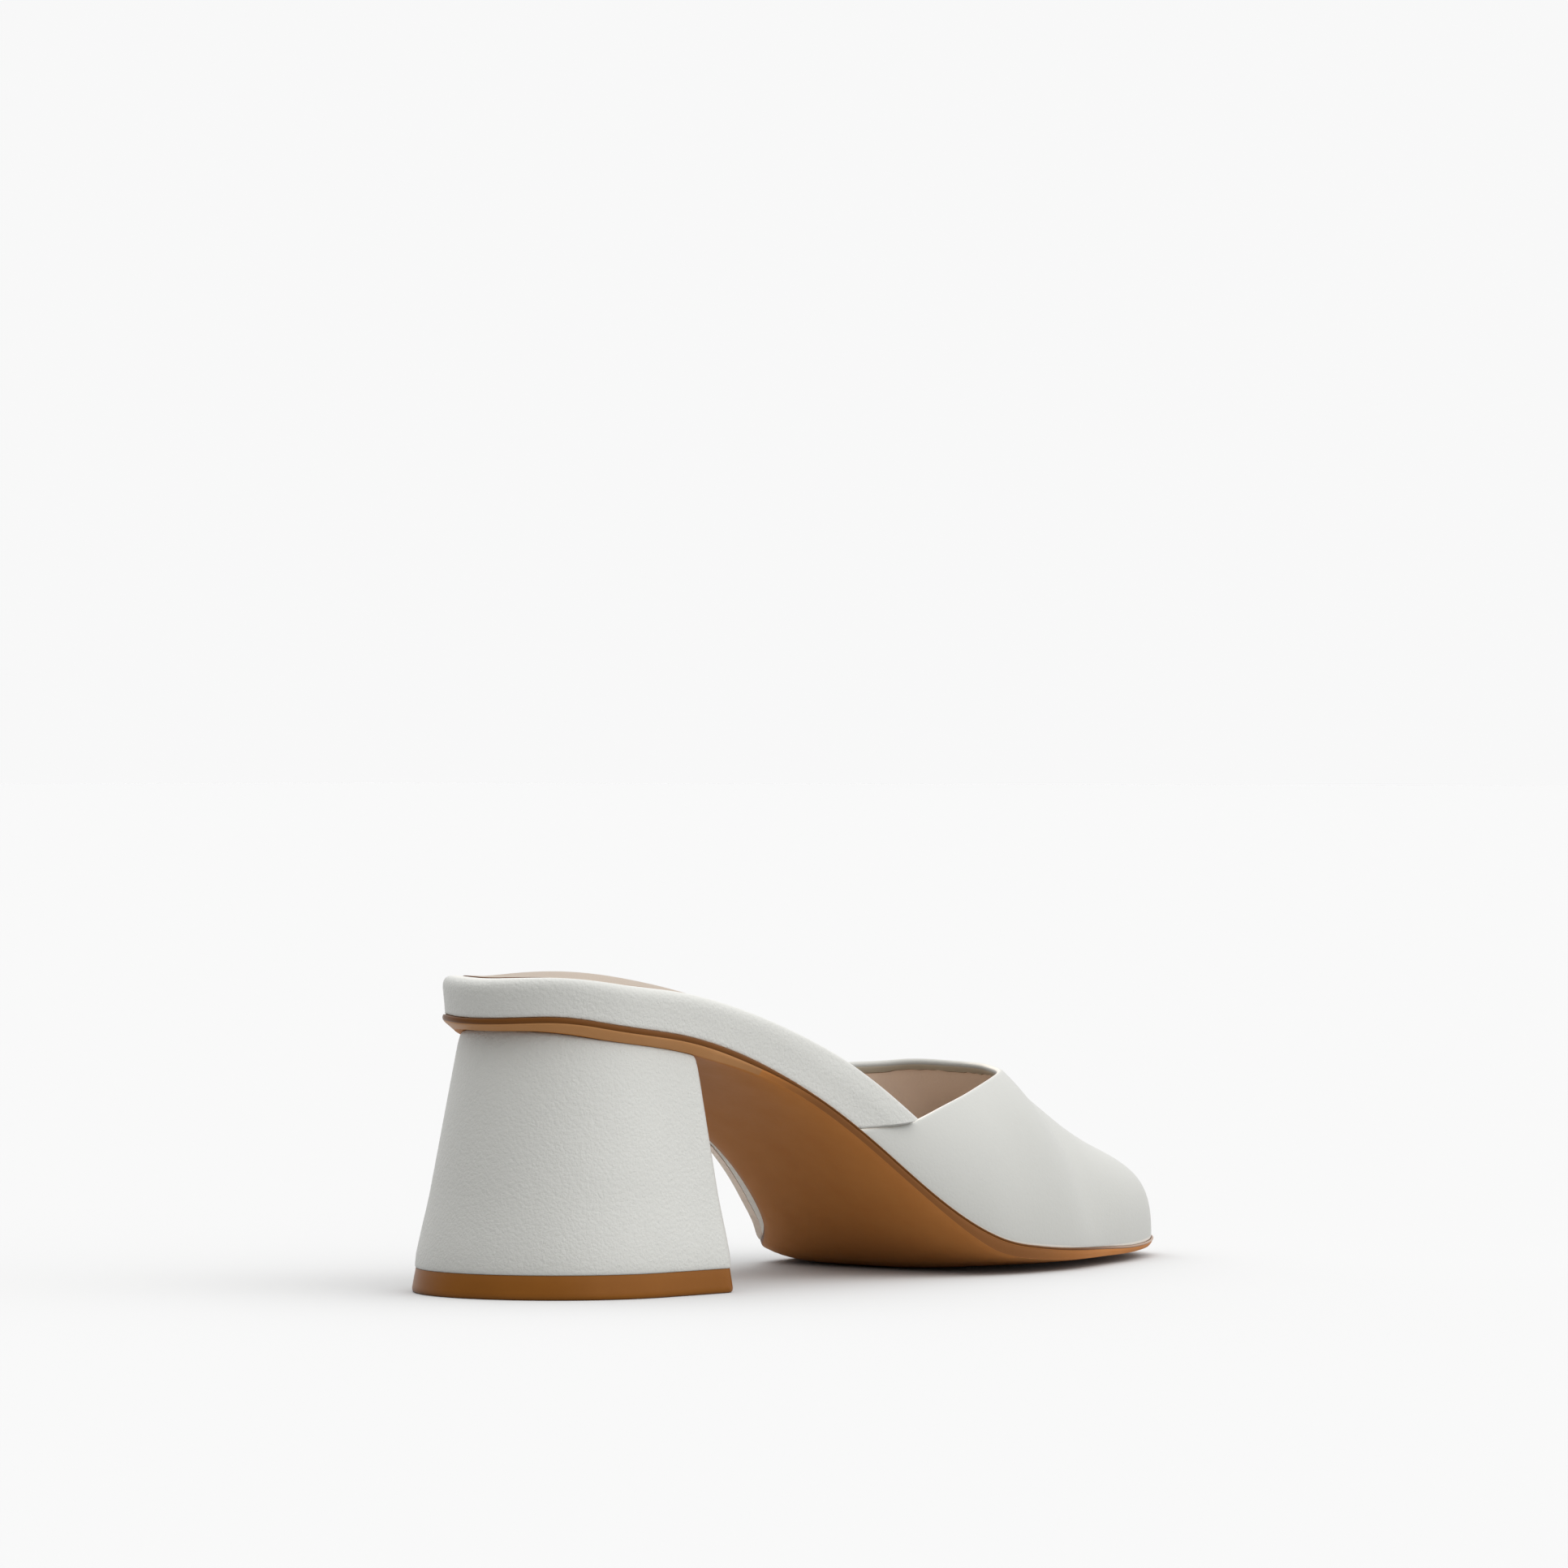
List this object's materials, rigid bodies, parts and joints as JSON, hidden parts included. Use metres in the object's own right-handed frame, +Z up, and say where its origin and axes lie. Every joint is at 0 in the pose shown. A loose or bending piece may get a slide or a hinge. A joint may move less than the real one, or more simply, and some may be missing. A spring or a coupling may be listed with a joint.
{
  "type": "block heel sandal",
  "caption": "Slip-on sandal for the right foot with a broad block heel, closed wrap over the forefoot, open back and open toe.",
  "frame": {"origin": "middle of the bounding box, on the floor", "axes": "+X from the heel to the toe, +Y to the inner (big-toe) side, +Z up from the floor"},
  "size_m": [0.228, 0.081, 0.0698],
  "materials": {
    "sole_leather": "smooth brown sole leather, semi-gloss",
    "wrap_leather": "fine-grained off-white leather, satin",
    "lift_rubber": "smooth brown, semi-gloss edge",
    "sock_leather": "beige lining leather, matt",
    "upper_leather": "fine-grained off-white leather, satin"
  },
  "bodies": {
    "root": {"outsole": "sole_leather", "heel_block": "wrap_leather", "top_lift": "lift_rubber", "footbed": "wrap_leather", "sock": "sock_leather", "upper": "upper_leather"}
  },
  "joints": []
}
